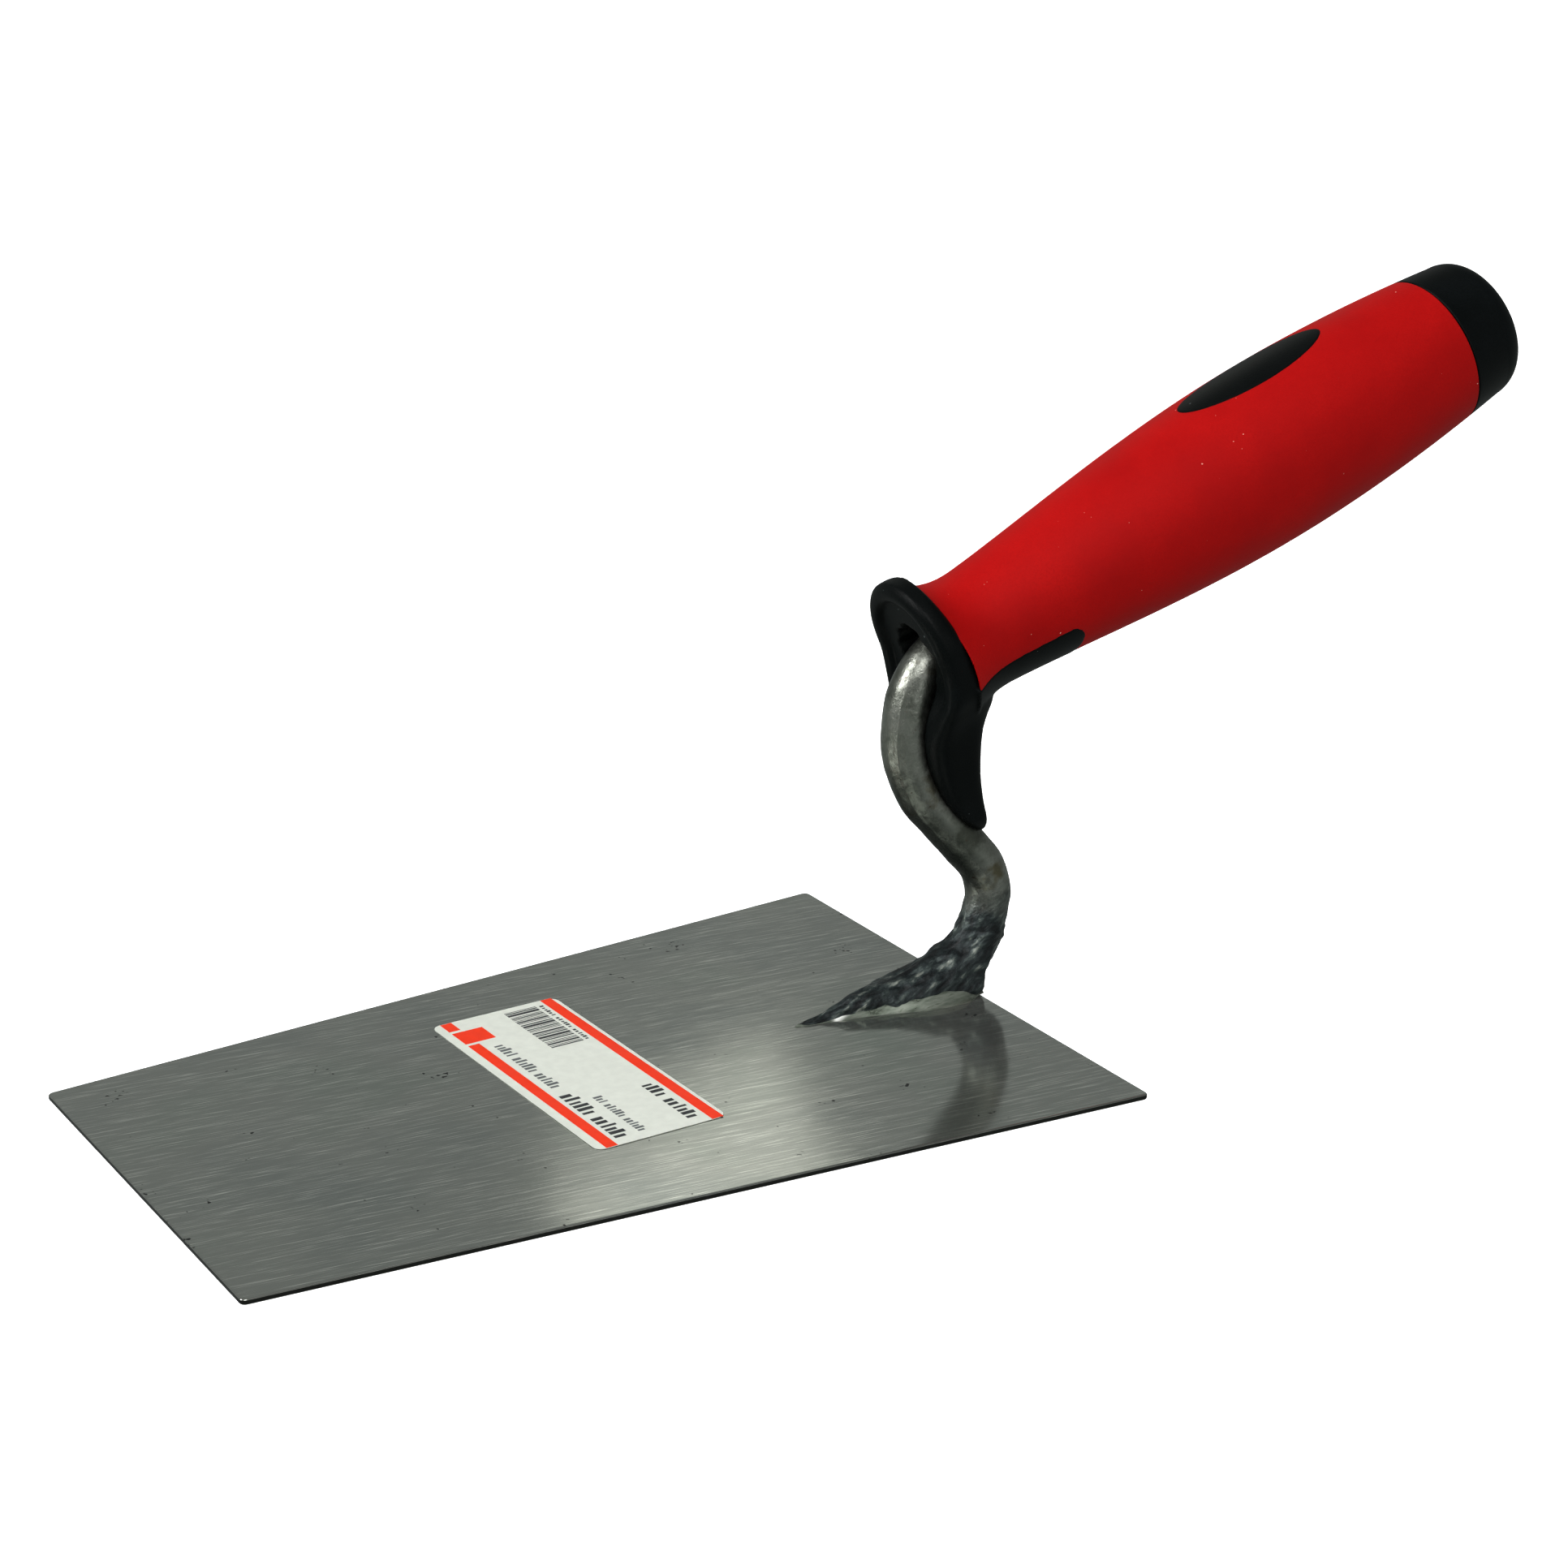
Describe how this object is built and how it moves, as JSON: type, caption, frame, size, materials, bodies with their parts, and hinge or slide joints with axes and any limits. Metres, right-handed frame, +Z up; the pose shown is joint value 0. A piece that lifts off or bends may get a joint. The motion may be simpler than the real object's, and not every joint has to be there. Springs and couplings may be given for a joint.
{
  "type": "bricklayer's trowel",
  "caption": "Square-ended tapered trowel blade on a forged S-shaped neck, with a two-colour soft-grip handle and finger guard.",
  "frame": {"origin": "middle of the blade's flat underside", "axes": "+X along the blade from its square toe to the handle's butt, +Z up off the blade's working face, +Y to the side, square to the plane of symmetry"},
  "size_m": [0.2799, 0.1128, 0.1232],
  "materials": {
    "blade_steel": "ground lengthwise and lightly oiled",
    "label_film": null,
    "forged_steel": "drop-forged bar, tumbled, with brown tarnish and black weld scale at the foot",
    "weld_steel": "ground weld bead",
    "core_plastic": "moulded polypropylene",
    "red_grip": "satin thermoplastic rubber with a fine spark-eroded grain",
    "black_grip": "matte black thermoplastic rubber"
  },
  "bodies": {
    "root": {"blade": "blade_steel", "size_label": "label_film", "neck_forging": "forged_steel", "foot_weld": "weld_steel", "handle_core": "core_plastic", "grip_shell": "red_grip", "palm_inlay": "black_grip", "finger_guard": "black_grip", "butt_cap": "black_grip"}
  },
  "joints": []
}
